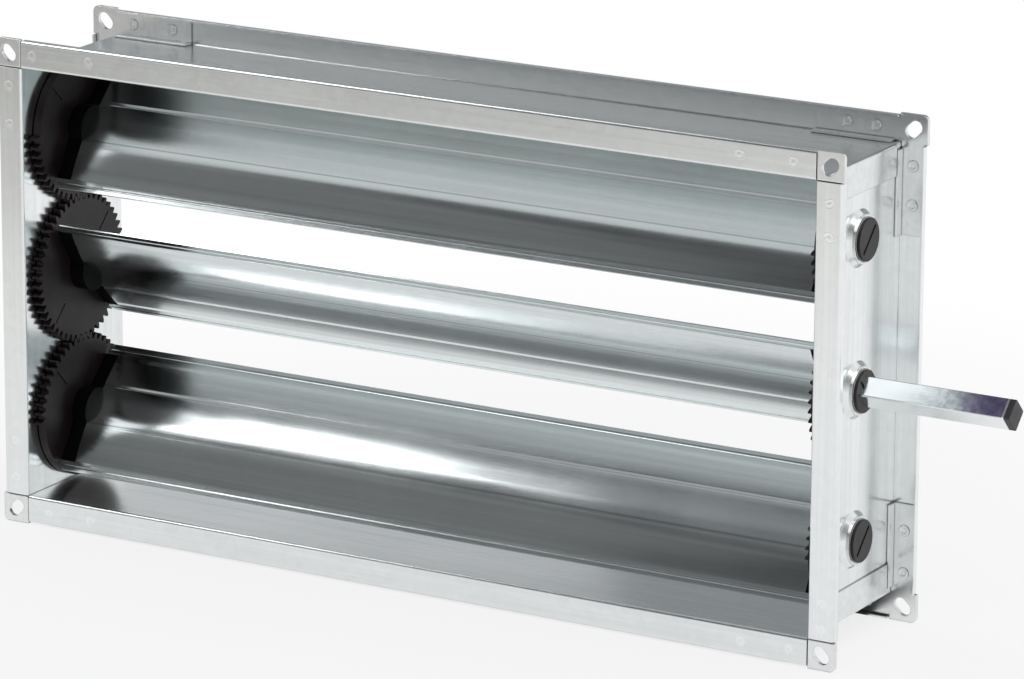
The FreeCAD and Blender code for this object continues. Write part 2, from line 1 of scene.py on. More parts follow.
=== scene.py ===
# %% [markdown]
# # Dressing a duct damper
#
# The solids come from the CAD model: four flanged walls, eight corner brackets,
# three hollow blades with plastic caps and toothed wheels, and a square shaft.
# This notebook gives them their finishes, gives the blades the curve that rolling
# leaves, adds the raised buttons of the clinch joints, and sets up a plain studio.
# Lengths are in metres, and the origin is the middle of the airway.

import math

import bmesh
import bpy
from mathutils import Matrix, Vector


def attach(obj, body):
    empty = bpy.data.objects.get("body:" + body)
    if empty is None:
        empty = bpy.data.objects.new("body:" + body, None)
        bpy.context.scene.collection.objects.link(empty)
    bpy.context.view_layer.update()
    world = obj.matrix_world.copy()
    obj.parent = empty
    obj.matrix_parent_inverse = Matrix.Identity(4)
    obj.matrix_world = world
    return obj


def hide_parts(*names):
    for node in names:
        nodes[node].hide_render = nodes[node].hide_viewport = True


MM = 0.001

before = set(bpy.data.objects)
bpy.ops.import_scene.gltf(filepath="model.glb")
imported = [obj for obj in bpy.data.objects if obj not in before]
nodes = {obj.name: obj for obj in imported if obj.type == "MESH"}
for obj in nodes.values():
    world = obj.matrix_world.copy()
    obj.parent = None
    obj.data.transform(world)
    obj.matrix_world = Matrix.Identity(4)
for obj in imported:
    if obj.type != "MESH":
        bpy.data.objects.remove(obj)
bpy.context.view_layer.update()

# %% [markdown]
# ## Helpers for node trees
#
# Every finish below is a tree of nodes. A node's socket takes either a plain value
# or a link from another node, and one helper, feed, does both. With it, a node and
# all its sockets are written in one line.

# %% Helpers that place and feed nodes
def join(tree, source, target):
    tree.links.new(source, target)


def feed(tree, term, socket):
    """Feed a socket with another socket, or with a plain number, vector or colour."""
    if isinstance(term, bpy.types.NodeSocket):
        join(tree, term, socket)
    elif socket.type == "RGBA":
        socket.default_value = (*term, 1)
    else:
        socket.default_value = term


def node(tree, kind, settings=None, **terms):
    """A shader node with its settings, and its sockets fed by name."""
    made = tree.nodes.new("ShaderNode" + kind)
    for name, value in (settings or {}).items():
        setattr(made, name, value)
    for name, term in terms.items():
        feed(tree, term, made.inputs[name.replace("_", " ")])
    return made


# %% [markdown]
# ## Helpers for sums, ramps and mixes
#
# A handful of nodes come back in every finish: sums, ramps from a value to a
# colour, noise, mixes of two colours and bumps. Each gets a helper that hands back
# the socket with its result.

# %% Helpers for sums and ranges
def maths(tree, operation, *terms, clamp=False):
    """A Math node."""
    made = node(tree, "Math", {"operation": operation, "use_clamp": clamp})
    for term, socket in zip(terms, made.inputs):
        feed(tree, term, socket)
    return made.outputs[0]


def vector_maths(tree, operation, *terms, **named):
    """A Vector Math node. Some of its sums give a number, and the others a vector."""
    made = node(tree, "VectorMath", {"operation": operation}, **named)
    for term, socket in zip(terms, made.inputs):
        feed(tree, term, socket)
    gives_number = operation in ("DISTANCE", "LENGTH", "DOT_PRODUCT")
    return made.outputs["Value" if gives_number else "Vector"]


def fade(tree, value, start, end, low=0.0, high=1.0, smooth=False):
    """A Map Range node: low up to the start, high from the end on."""
    settings = {"interpolation_type": "SMOOTHSTEP" if smooth else "LINEAR"}
    made = node(tree, "MapRange", settings, Value=value, From_Min=start, From_Max=end,
                To_Min=low, To_Max=high)
    return made.outputs[0]


# %% Helpers for colours and relief
def ramp(tree, source, stops, smooth=True):
    """A Color Ramp from (place, colour) stops. A colour may be a single grey."""
    made = tree.nodes.new("ShaderNodeValToRGB")
    made.color_ramp.interpolation = "EASE" if smooth else "LINEAR"
    elements = made.color_ramp.elements
    while len(elements) < len(stops):
        elements.new(0.5)
    for element, (place, colour) in zip(elements, stops):
        element.position = place
        grey = isinstance(colour, (int, float))
        element.color = (colour, colour, colour, 1) if grey else (*colour, 1)
    join(tree, source, made.inputs[0])
    return made.outputs[0]


def noise(tree, position, scale, detail=2.0, roughness=0.5):
    """A Noise Texture. Its outputs are Fac, which is grey, and Color."""
    return node(tree, "TexNoise", Vector=position, Scale=scale, Detail=detail,
                Roughness=roughness).outputs


def mixed(tree, share, first, second):
    """The first colour, giving way to the second as the share grows."""
    made = node(tree, "Mix", {"data_type": "RGBA"}, Factor=share, A=first, B=second)
    return made.outputs["Result"]


def bump(tree, height, distance, normal, strength=1.0):
    """Relief on top of a normal."""
    return node(tree, "Bump", Strength=strength, Distance=distance, Height=height,
                Normal=normal).outputs[0]


# %% [markdown]
# ## Helpers for groups and materials
#
# An effect that several finishes share is a node group, built once. A group puts
# out values and masks only, and the shader stays in the material.

# %% Helpers for groups and materials
def new_group(name, inputs, outputs):
    """A shader node group. Its inputs are given as name: (kind, value)."""
    tree = bpy.data.node_groups.new(name, "ShaderNodeTree")
    for socket, (kind, value) in inputs.items():
        made = tree.interface.new_socket(name=socket, in_out="INPUT",
                                         socket_type="NodeSocket" + kind)
        if value is not None:
            made.default_value = value
    for socket in outputs:
        tree.interface.new_socket(name=socket, in_out="OUTPUT", socket_type="NodeSocketFloat")
    start = tree.nodes.new("NodeGroupInput")
    end = tree.nodes.new("NodeGroupOutput")
    return tree, start.outputs, end.inputs


def use_group(tree, group, position, **terms):
    """A group placed in a material, fed with a position and its own values."""
    return node(tree, "Group", {"node_tree": group}, Position=position, **terms).outputs


def new_material(name):
    """A material, its tree, its Principled BSDF and its Object coordinates."""
    material = bpy.data.materials.new(name)
    material.use_nodes = True
    tree = material.node_tree
    position = node(tree, "TexCoord").outputs["Object"]
    return material, tree, tree.nodes["Principled BSDF"], position


# %% [markdown]
# ## Soft edges
#
# No sheared or moulded edge is perfectly sharp, and the thin bright line along it
# is what makes sheet metal look real. The Bevel node turns the normals near each
# edge, so the CAD solids keep their shape. Small radii stand for sheared sheet,
# and larger ones for mouldings.

# %% Function for soft edges
def soft_edge(tree, radius):
    """A Bevel node's normal, to be passed into the first Bump node."""
    return node(tree, "Bevel", {"samples": 4}, Radius=radius).outputs[0]


# %% [markdown]
# ## Zinc spangle
#
# Hot-dip zinc freezes into flat crystals, a few millimetres across, which each
# reflect a little differently. Voronoi cells have that look: every cell takes one
# tone. A second, finer layer breaks up the cells, and a slow cloud stands for the
# uneven film of oil and handling marks. A real image of zinc would repeat, while
# this pattern doesn't.

# %% Group for spangle
CRYSTAL_WARP = 6 * MM  # how far noise bends the crystals' borders
FINE_CRYSTALS = 3.1  # the second layer's cells are this many times smaller
FINE_SHARE = 0.45
MEAN_TONE = 0.72  # of both layers together


def build_spangle():
    tree, given, out = new_group(
        "Zinc spangle",
        {"Position": ("Vector", None), "Crystal Size": ("Float", 7.0), "Contrast": ("Float", 1.0)},
        ["Tone", "Film"],
    )
    per_metre = maths(tree, "DIVIDE", 1000.0, given["Crystal Size"])
    warp = noise(tree, given["Position"], 55.0)["Color"]
    bent = vector_maths(tree, "MULTIPLY_ADD", warp, (CRYSTAL_WARP,) * 3, given["Position"])
    tones = []
    for scale in (per_metre, maths(tree, "MULTIPLY", per_metre, FINE_CRYSTALS)):
        cells = node(tree, "TexVoronoi", {"feature": "F1"}, Vector=bent, Scale=scale)
        tones.append(node(tree, "SeparateColor", Color=cells.outputs["Color"]).outputs)
    both = maths(tree, "MULTIPLY_ADD", tones[1]["Green"], FINE_SHARE, tones[0]["Red"])
    centred = maths(tree, "SUBTRACT", both, MEAN_TONE)
    join(tree, maths(tree, "MULTIPLY", centred, given["Contrast"]), out["Tone"])
    film = noise(tree, given["Position"], 9.0, detail=4.0, roughness=0.55)["Fac"]
    join(tree, film, out["Film"])
    return tree


spangle = build_spangle()
print("spangle group:", len(spangle.nodes), "nodes")

# %% [markdown]
# ## Rolling streaks
#
# Sheet and bar leave the rolls with fine lines along their length. Noise that is
# stretched fifty times or more in one direction draws them. The group takes the
# stretch as an input, so that the walls, the blades and the shaft can share it.

# %% Group for streaks
ALONG_X = (0.02, 1.0, 1.0)
ALONG_Z = (1.0, 1.0, 0.02)
LONG_ALONG_X = (0.008, 1.0, 1.0)
UNSTRETCHED = (1.0, 1.0, 1.0)
BROAD_SCALE = 0.12  # broad streaks, as a share of the fine lines' scale


def build_streaks():
    tree, given, out = new_group(
        "Rolling streaks",
        {"Position": ("Vector", None), "Stretch": ("Vector", ALONG_X), "Lines": ("Float", 900.0)},
        ["Fine", "Broad"],
    )
    stretched = vector_maths(tree, "MULTIPLY", given["Position"], given["Stretch"])
    fine = noise(tree, stretched, given["Lines"], detail=3.0, roughness=0.6)
    join(tree, fine["Fac"], out["Fine"])
    broad = noise(tree, stretched, maths(tree, "MULTIPLY", given["Lines"], BROAD_SCALE))
    join(tree, broad["Fac"], out["Broad"])
    return tree


streaks = build_streaks()
print("streaks group:", len(streaks.nodes), "nodes")

# %% [markdown]
# ## Clinch marks
#
# Each corner bracket is joined to its two flanges without screws: a punch presses
# round dimples through both sheets. They were set by eye, so their spacing differs
# from corner to corner. The group takes the distance to the nearest of the listed
# centres and shapes it into a ring with a raised dot, which a Bump node turns into
# relief. The position is first shaken by fine noise, because zinc half fills the
# dimples and blurs their outline.

# %% Group for clinch marks
MARK_RADIUS = 3.8 * MM
MARK_WEAR = 4.5 * MM  # full swing of the noise that shakes the position
MARKS = [  # X, Y and Z in millimetres, on the middle of each flange
    (-291, -60, 160), (-245, -60, 160), (246, -60, 160), (284, -60, 160),
    (-310, -60, 137), (-310, -60, 111), (310, -60, 136), (310, -60, 114),
    (-310, -60, -112), (-310, -60, -138), (310, -60, -126), (310, -60, -143),
    (-283, -60, -160), (-249, -60, -160), (252, -60, -160), (287, -60, -160),
    (-287, 60, 160), (-255, 60, 160), (262, 60, 160), (283, 60, 160),
    (-310, 60, 134), (-310, 60, 109), (310, 60, 136), (310, 60, 110),
    (-310, 60, -113), (-310, 60, -139), (310, 60, -108), (310, 60, -137),
    (-285, 60, -160), (-252, 60, -160), (256, 60, -160), (284, 60, -160),
]
# From the middle of a mark (0) to its rim (1).
MARK_RELIEF = [(0.0, 0.55), (0.25, 0.45), (0.5, 0.15), (0.72, 0.2), (0.88, 0.75), (1.0, 0.6)]
MARK_SHINE = [(0.0, 0.5), (0.2, 0.3), (0.45, 1.0), (0.75, 0.9), (1.0, 0.0)]


def build_marks():
    tree, given, out = new_group("Clinch marks", {"Position": ("Vector", None)}, ["Height", "Ring"])
    wear = noise(tree, given["Position"], 260.0, detail=3.0)["Color"]
    shifted = vector_maths(tree, "SUBTRACT", given["Position"], (MARK_WEAR / 2,) * 3)
    worn = vector_maths(tree, "MULTIPLY_ADD", wear, (MARK_WEAR,) * 3, shifted)
    nearest = 1.0
    for x, y, z in MARKS:
        gap = vector_maths(tree, "DISTANCE", worn, (x * MM, y * MM, z * MM))
        nearest = maths(tree, "MINIMUM", gap, nearest)
    share = maths(tree, "DIVIDE", nearest, MARK_RADIUS, clamp=True)
    join(tree, ramp(tree, share, MARK_RELIEF), out["Height"])
    join(tree, ramp(tree, share, MARK_SHINE), out["Ring"])
    return tree


marks = build_marks()
print("marks group:", len(marks.nodes), "nodes")

# %% [markdown]
# ## The painted shade line on the blades
#
# A dark line is painted beside the fold that runs along each blade: painted shade
# along the ridge. The line follows the fold, so the group first works out the place
# across the blade, from the lower edge (-49.5 mm) to the upper one. The same outline
# closes both skins, so the lower skin is read from the other end.

# %% Group for the painted ridge shade line
HALF_ROOT = math.sqrt(0.5)
BLADE_AXES = {  # height of the axis, and which way up the blade is
    "top": (100 * MM, 1.0),
    "middle": (0.0, -1.0),
    "bottom": (-100 * MM, 1.0),
}
RIDGE = -14.4 * MM  # place of the fold across the blade
EDGE_START = 40 * MM  # from here on the blade is a flat edge
EDGE_SHIFT = 2.6 * MM  # the edges lie this far off the blade's middle plane
LINE_FROM_RIDGE = 0.7 * MM
LINE_WIDTH = 0.8 * MM  # on each side


def build_painted_ridge_shade():
    tree, given, out = new_group(
        "Painted ridge shade",
        {"Position": ("Vector", None), "Centre Height": ("Float", 0.0), "Facing": ("Float", 1.0)},
        ["Line"],
    )
    place = node(tree, "SeparateXYZ", Vector=given["Position"]).outputs
    above = maths(tree, "SUBTRACT", place["Z"], given["Centre Height"])
    above = maths(tree, "MULTIPLY", above, given["Facing"])
    along = maths(tree, "MULTIPLY", maths(tree, "ADD", place["Y"], above), HALF_ROOT)
    proud = maths(tree, "MULTIPLY", maths(tree, "SUBTRACT", above, place["Y"]), HALF_ROOT)
    shift = maths(tree, "MINIMUM", maths(tree, "MAXIMUM", along, -EDGE_START), EDGE_START)
    shift = maths(tree, "MULTIPLY", shift, EDGE_SHIFT / EDGE_START)
    upper_skin = maths(tree, "SIGN", maths(tree, "SUBTRACT", proud, shift))
    across = maths(tree, "MULTIPLY", along, upper_skin)
    beside = maths(tree, "ABSOLUTE", maths(tree, "SUBTRACT", across, RIDGE + LINE_FROM_RIDGE))
    share = maths(tree, "DIVIDE", beside, LINE_WIDTH)
    join(tree, maths(tree, "SUBTRACT", 1.0, share, clamp=True), out["Line"])
    return tree


painted_ridge_shade = build_painted_ridge_shade()
print("painted ridge shade group:", len(painted_ridge_shade.nodes), "nodes")

# %% [markdown]
# ## The parts of a sheet finish
#
# Walls, brackets and blades are all zinc-coated sheet. Their colour stays a mid
# grey, and the metal's look comes from what it reflects, so the finish is mostly
# small changes: of tone, from crystal to crystal and line to line, of gloss, where
# the sheet was handled, and of the normal, from the rolling lines and from the
# slow waves of thin sheet.

# %% Tone, gloss and relief of sheet
CRYSTAL_TONE, FILM_TONE = 0.10, 0.12
FILM_GLOSS, CRYSTAL_GLOSS, STREAK_GLOSS = 0.14, 0.03, 0.06


def sheet_tone(tree, colour, streak, zinc, rolled):
    line_tone = maths(tree, "MULTIPLY_ADD", rolled["Fine"], streak, -streak / 2)
    tone = maths(tree, "ADD", maths(tree, "MULTIPLY", zinc["Tone"], CRYSTAL_TONE), line_tone)
    film_tone = maths(tree, "MULTIPLY_ADD", zinc["Film"], FILM_TONE, -FILM_TONE / 2)
    brightness = maths(tree, "ADD", maths(tree, "ADD", tone, film_tone), 1.0)
    return vector_maths(tree, "SCALE", colour, Scale=brightness)


def sheet_gloss(tree, roughness, zinc, rolled):
    rough = maths(tree, "MULTIPLY_ADD", zinc["Film"], FILM_GLOSS, roughness - FILM_GLOSS / 2)
    rough = maths(tree, "MULTIPLY_ADD", zinc["Tone"], CRYSTAL_GLOSS, rough)
    return maths(tree, "MULTIPLY_ADD", rolled["Broad"], STREAK_GLOSS, rough)


def sheet_relief(tree, position, relief, wave, edge, rolled):
    lines = bump(tree, rolled["Fine"], relief, soft_edge(tree, edge))
    waves = noise(tree, position, 7.0, detail=1.0)["Fac"]
    return bump(tree, waves, wave, lines)


# %% [markdown]
# ## Painted seam shade, marks and the painted ridge shade
#
# Shade is painted into the seams between walls and brackets, where real shadow
# falls. The Ambient Occlusion node finds them: with a reach of under 2 mm, only
# what lies close to a neighbour turns dark. The clinch marks are added to the
# relief, and their rubbed rims are brighter than the sheet. The blades get their
# painted shade line instead.

# %% Functions for painted seam shade, marks and painted ridge shade
SEAM_SHADE_REACH = 1.8 * MM
SEAM_SHADE_TONES = [(0.35, 0.22), (0.80, 1.0)]
MARK_DEPTH = 0.16 * MM
SHINE_SHARE, SHINE = 0.4, (0.95, 0.955, 0.96)
RIDGE_SHADE_SHARE, RIDGE_SHADE_GREY = 0.75, (0.30, 0.32, 0.32)


# Painted shade: the base colour is darkened in seams and corners, where shadow falls.
def with_painted_seam_shade(tree, base):
    seam_shade = node(tree, "AmbientOcclusion", {"samples": 4}, Distance=SEAM_SHADE_REACH)
    return vector_maths(tree, "MULTIPLY", base, ramp(tree, seam_shade.outputs["AO"], SEAM_SHADE_TONES))


def with_clinch_marks(tree, position, base, normal):
    pressed = use_group(tree, marks, position)
    shine = maths(tree, "MULTIPLY", pressed["Ring"], SHINE_SHARE)
    return mixed(tree, shine, base, SHINE), bump(tree, pressed["Height"], MARK_DEPTH, normal)


# Painted shade: a dark line is mixed into the blade's colour beside the fold.
def with_painted_ridge_shade(tree, position, base, axis):
    height, facing = axis
    line = use_group(tree, painted_ridge_shade, position, Centre_Height=height, Facing=facing)["Line"]
    return mixed(tree, maths(tree, "MULTIPLY", line, RIDGE_SHADE_SHARE), base, RIDGE_SHADE_GREY)


# %% [markdown]
# ## The sheet finishes
#
# One function puts the parts together. The walls show crystals, with their rolling
# lines along X or, on the upright side walls, along Z. The brackets are pressed
# from plainer strip, and the blades are smoother with long streaks.

# %% Function for sheet finishes
def sheet_finish(name, colour, roughness, crystals, crystal_size, stretch, lines, relief, wave,
                 edge, streak=0.10, with_marks=False, blade_axis=None):
    material, tree, shader, position = new_material(name)
    shader.inputs["Metallic"].default_value = 1.0
    zinc = use_group(tree, spangle, position, Crystal_Size=crystal_size, Contrast=crystals)
    rolled = use_group(tree, streaks, position, Stretch=stretch, Lines=lines)
    base = sheet_tone(tree, colour, streak, zinc, rolled)
    normal = sheet_relief(tree, position, relief, wave, edge, rolled)
    if blade_axis:
        base = with_painted_ridge_shade(tree, position, base, blade_axis)
    if with_marks:
        base, normal = with_clinch_marks(tree, position, with_painted_seam_shade(tree, base), normal)
    join(tree, base, shader.inputs["Base Color"])
    join(tree, sheet_gloss(tree, roughness, zinc, rolled), shader.inputs["Roughness"])
    join(tree, normal, shader.inputs["Normal"])
    return material


# %% Sheet finishes
WALL_SHEET = {
    "crystals": 0.35, "crystal_size": 6.5, "lines": 200.0, "relief": 0.006 * MM,
    "wave": 0.5 * MM, "edge": 0.7 * MM, "streak": 0.22, "with_marks": True,
}
BLADE_SHEET = {
    "colour": (0.70, 0.745, 0.75), "roughness": 0.13, "crystals": 0.2, "crystal_size": 5.0,
    "stretch": LONG_ALONG_X, "lines": 170.0, "relief": 0.012 * MM, "wave": 0.6 * MM,
    "edge": 0.4 * MM, "streak": 0.42,
}
wall_zinc = sheet_finish("Galvanised wall", colour=(0.775, 0.795, 0.80), roughness=0.18,
                         stretch=ALONG_X, **WALL_SHEET)
# Painted light: the side walls' zinc colour is lifted above the other walls'.
upright_zinc_painted_lighter = sheet_finish("Galvanised side wall, painted lighter", colour=(0.81, 0.83, 0.835), roughness=0.16,
                            stretch=ALONG_Z, **WALL_SHEET)
bracket_zinc = sheet_finish("Galvanised bracket", colour=(0.78, 0.795, 0.80), roughness=0.20,
                            crystals=0.5, crystal_size=4.0, stretch=UNSTRETCHED, lines=60.0,
                            relief=0.02 * MM, wave=0.2 * MM, edge=1.0 * MM, with_marks=True)
blade_zinc = {
    blade: sheet_finish(f"Rolled {blade} blade sheet", blade_axis=axis, **BLADE_SHEET)
    for blade, axis in BLADE_AXES.items()
}
print("sheet finishes:", 3 + len(blade_zinc))

# %% [markdown]
# ## Plastics
#
# The wheels are black nylon, moulded with a fine matt texture, and dust and wear
# make their flat faces slightly warmer. The caps between the blades and the wheels
# are the same black nylon, painted darker and duller: painted shade, as they sit in
# shadow. The position discs outside are a dark grey, and the bearing bushes are left
# in nylon's own pale colour. Two layers of noise give the grain of the mould and the
# cloudiness of the flow.

# %% Function for plastics
MOULD_EDGE = 0.3 * MM
SPECKLE_GLOSS = 0.16
FLOW_CLOUDS = [(0.35, 0.0), (0.75, 1.0)]


def moulded_plastic(name, colour, dusty, roughness, grain, gloss=0.5):
    material, tree, shader, position = new_material(name)
    shader.inputs["Specular IOR Level"].default_value = gloss
    flow = noise(tree, position, 60.0, detail=5.0, roughness=0.6)["Fac"]
    base = mixed(tree, ramp(tree, flow, FLOW_CLOUDS), colour, dusty)
    speckle = noise(tree, position, 2600.0)["Fac"]
    rough = maths(tree, "MULTIPLY_ADD", speckle, SPECKLE_GLOSS, roughness - SPECKLE_GLOSS / 2)
    normal = bump(tree, speckle, grain, soft_edge(tree, MOULD_EDGE), strength=0.5)
    join(tree, base, shader.inputs["Base Color"])
    join(tree, rough, shader.inputs["Roughness"])
    join(tree, normal, shader.inputs["Normal"])
    return material


# %% Plastics
wheel_nylon = moulded_plastic("Black nylon", colour=(0.010, 0.0065, 0.007),
                              dusty=(0.020, 0.0135, 0.0145), roughness=0.36,
                              grain=0.03 * MM, gloss=0.22)
# Painted shade: the caps are a darker, duller copy of the wheels' black nylon.
cap_nylon_painted_shade = moulded_plastic("Black cap nylon, painted shade", colour=(0.0015, 0.0015, 0.0015),
                            dusty=(0.004, 0.0035, 0.0035), roughness=0.48,
                            grain=0.03 * MM, gloss=0.08)
disc_nylon = moulded_plastic("Dark grey nylon", colour=(0.008, 0.007, 0.007),
                             dusty=(0.026, 0.023, 0.023), roughness=0.40,
                             grain=0.06 * MM, gloss=0.32)
bush_nylon = moulded_plastic("Natural nylon", colour=(0.80, 0.80, 0.77),
                             dusty=(0.86, 0.86, 0.84), roughness=0.30, grain=0.04 * MM)
print("plastics made")

# %% [markdown]
# ## The drive shaft
#
# The square bar is cold drawn and zinc plated, then passivated, which leaves a
# blue and violet tint on its upper faces. The tint grows towards the end, with
# some noise, and is mottled with darker patches. Just before the cut a pale rim is
# left, and the cut end itself is dark and dull.

# %% Shaft finish
SHAFT_END = 414 * MM
RIM = (SHAFT_END - 5.6 * MM, SHAFT_END - 5.4 * MM)
CUT = (SHAFT_END - 4.4 * MM, SHAFT_END - 4.2 * MM)
TINT_START, TINT_END = 350 * MM, 420 * MM
TINTS = [
    (0.0, (0.68, 0.71, 0.72)), (0.45, (0.70, 0.76, 0.76)), (0.62, (0.44, 0.43, 0.54)),
    (0.85, (0.26, 0.24, 0.38)), (1.0, (0.34, 0.32, 0.46)),
]
PATCH, PATCH_SHARE = (0.17, 0.14, 0.30), 0.75
PLAIN_ZINC = (0.84, 0.865, 0.87)
CUT_GREY = (0.075, 0.070, 0.075)


def shaft_tint(tree, position, place):
    """The mottled tint, and how far along it is from its start to its end."""
    cloud = noise(tree, position, 38.0, detail=4.0, roughness=0.65)["Fac"]
    drift = maths(tree, "MULTIPLY_ADD", cloud, 20 * MM, place["X"])
    along = fade(tree, drift, TINT_START, TINT_END)
    patches = noise(tree, position, 210.0, detail=3.0, roughness=0.6)["Fac"]
    spots = ramp(tree, patches, [(0.40, 0.0), (0.62, 1.0)])
    share = maths(tree, "MULTIPLY", maths(tree, "MULTIPLY", spots, along), PATCH_SHARE)
    return mixed(tree, share, ramp(tree, along, TINTS), PATCH)


def plated_bar():
    material, tree, shader, position = new_material("Plated square bar")
    shader.inputs["Metallic"].default_value = 1.0
    drawn = use_group(tree, streaks, position, Stretch=ALONG_X, Lines=1500.0)
    place = node(tree, "SeparateXYZ", Vector=position).outputs
    upper = fade(tree, place["Z"], -0.5 * MM, 0.5 * MM)
    before_rim = fade(tree, place["X"], *RIM, low=1.0, high=0.15)
    tinted = maths(tree, "MULTIPLY", upper, before_rim)
    plated = mixed(tree, tinted, PLAIN_ZINC, shaft_tint(tree, position, place))
    cut = fade(tree, place["X"], *CUT)
    rough = maths(tree, "MULTIPLY_ADD", drawn["Broad"], 0.14, 0.10)
    rough = maths(tree, "MULTIPLY_ADD", cut, 0.3, rough)
    normal = bump(tree, drawn["Fine"], 0.15 * MM, soft_edge(tree, 0.4 * MM), strength=0.25)
    join(tree, mixed(tree, cut, plated, CUT_GREY), shader.inputs["Base Color"])
    join(tree, rough, shader.inputs["Roughness"])
    join(tree, normal, shader.inputs["Normal"])
    return material


shaft_zinc = plated_bar()
print("shaft finish:", len(shaft_zinc.node_tree.nodes), "nodes")

# %% [markdown]
# ## Hand the finishes out
#
# The first word of each solid's name says what it is, so a small table of words
# is enough. The side walls stand upright, so their rolling lines run up and down,
# and their zinc is painted a little lighter than the other walls, as painted light.

# %% Finish for each solid
FINISHES = {
    "channel": wall_zinc, "bracket": bracket_zinc, "bush": bush_nylon, "cap": cap_nylon_painted_shade,
    "wheel": wheel_nylon, "disc": disc_nylon, "drive": shaft_zinc,
}
for name, solid in nodes.items():
    words = name.split("_")
    finish = blade_zinc[words[-1]] if words[0] == "blade" else FINISHES[words[0]]
    if name in ("channel_left", "channel_right"):
        finish = upright_zinc_painted_lighter
    solid.data.materials.clear()
    solid.data.materials.append(finish)
print("finishes on", len(nodes), "solids")

# %% [markdown]
# ## From a bmesh to an object
#
# The new pieces below are all shaped as a bmesh and end the same way: as an object
# at the origin, unturned and unscaled, with its place in its mesh.

# %% Function for finished pieces
def finished_piece(name, mesh, material):
    data = bpy.data.meshes.new(name)
    mesh.to_mesh(data)
    mesh.free()
    data.materials.append(material)
    made = bpy.data.objects.new(name, data)
    bpy.context.collection.objects.link(made)
    return made


# %% [markdown]
# ## Rolled blade skins
#
# A real blade's skins aren't flat between their folds: the rolls leave a slow curve
# on both sides of the ridge with a fine rib on top, a hollow before the bead and a
# raised hem. In bright sheet, those few tenths of a millimetre decide what is
# reflected where. So each CAD shell is copied and its triangles are merged back
# into clean faces. bisect_plane then adds long cuts along the blade, and each point
# moves in or out by what the curve says. Both sides of the sheet move together, so
# it keeps its thickness.

# %% Curve of a skin
RIDGE_SPREAD = 11 * MM  # how far the fold's curve reaches on each side
RIDGE_FOLD = 0.29  # radians between the two faces
RIB_WIDTH = 1.1 * MM
RIB_RISE = 0.14 * MM
BELLY_START, BELLY_END = -42.2 * MM, -28 * MM
BELLY_RISE = 0.52 * MM
HOLLOW_START, BEAD = 3 * MM, 15.5 * MM
HOLLOW_DEPTH = 0.30 * MM
HEM_START, HEM_END = 37.5 * MM, 41.3 * MM
HEM_RISE = 0.30 * MM
EDGE_TILT = 0.09  # the lower edge's outer sheet leans in by this share


def skin_rise(place):
    """How far the skin stands outside the plain folds, at a place across the blade."""
    if place <= BELLY_START:
        return EDGE_TILT * (place - BELLY_START)
    if place >= HEM_END:
        return 0.0
    fold = max(0.0, 1 - abs(place - RIDGE) / RIDGE_SPREAD)
    rib = max(0.0, 1 - abs(place - RIDGE) / RIB_WIDTH)
    rise = RIB_RISE * rib ** 2 - RIDGE_FOLD * RIDGE_SPREAD / 4 * fold ** 2
    if place < RIDGE:
        steeper = max(0.0, (BELLY_END - place) / (BELLY_END - BELLY_START))
        climb = (place - BELLY_START) / (RIDGE - BELLY_START)
        return rise + BELLY_RISE * (1 - steeper ** 2 - climb)
    if place < BEAD:
        return rise - HOLLOW_DEPTH * max(0.0, (place - HOLLOW_START) / (BEAD - HOLLOW_START)) ** 2
    if place < HEM_START:
        climb = (place - BEAD) / (HEM_START - BEAD)
        return rise - HOLLOW_DEPTH + (HEM_RISE + HOLLOW_DEPTH) * climb
    return rise + HEM_RISE * (HEM_END - place) / (HEM_END - HEM_START)


print("rise at the ridge:", round(skin_rise(RIDGE) / MM, 2), "mm")

# %% Rolled skins
CUTS = [-40.6, -39, -37.4, -35.8, -34.2, -32.6, -31, -29.5, -28, -26.7]  # millimetres across
CUTS += [-25.4 + step for step in range(23)]
CUTS += [-15.5, -15.1, -14.75, -14.4, -14.05, -13.7, -13.3]  # fine ones round the rib
CUTS += [3, 4.5, 6, 7.5, 9, 10.5, 12, 13.4, 14.8, 19.1, 36.9, 37.5, 38.1, 40.7, 41.3]
SAME_POINT = 0.001 * MM
SAME_FACE = math.radians(0.3)
SHARP_FOLD = math.radians(16)


def rolled_blade(blade):
    height, facing = BLADE_AXES[blade]
    centre = Vector((0, 0, height))
    across_way = Vector((0, 1, facing)) * HALF_ROOT
    out_way = Vector((0, -1, facing)) * HALF_ROOT
    mesh = bmesh.new()
    mesh.from_mesh(nodes[f"blade_shell_{blade}"].data)
    bmesh.ops.remove_doubles(mesh, verts=mesh.verts, dist=SAME_POINT)
    bmesh.ops.dissolve_limit(mesh, angle_limit=SAME_FACE, verts=mesh.verts, edges=mesh.edges)
    for cut in CUTS:
        for place in (cut * MM, -cut * MM):
            everything = mesh.verts[:] + mesh.edges[:] + mesh.faces[:]
            bmesh.ops.bisect_plane(mesh, geom=everything, dist=SAME_POINT,
                                   plane_co=centre + across_way * place, plane_no=across_way)
    for point in mesh.verts:
        along = (point.co - centre).dot(across_way)
        shift = min(max(along, -EDGE_START), EDGE_START) * EDGE_SHIFT / EDGE_START
        side = 1 if (point.co - centre).dot(out_way) > shift else -1
        point.co += out_way * side * skin_rise(along * side)
    made = finished_piece(f"rolled_blade_{blade}", mesh, blade_zinc[blade])
    for face in made.data.polygons:
        face.use_smooth = True
    made.data.set_sharp_from_angle(angle=SHARP_FOLD)
    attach(made, f"{blade}_blade")
    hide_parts(f"blade_shell_{blade}")
    return made


for blade in BLADE_AXES:
    print("rolled skins:", blade, len(rolled_blade(blade).data.polygons), "faces")

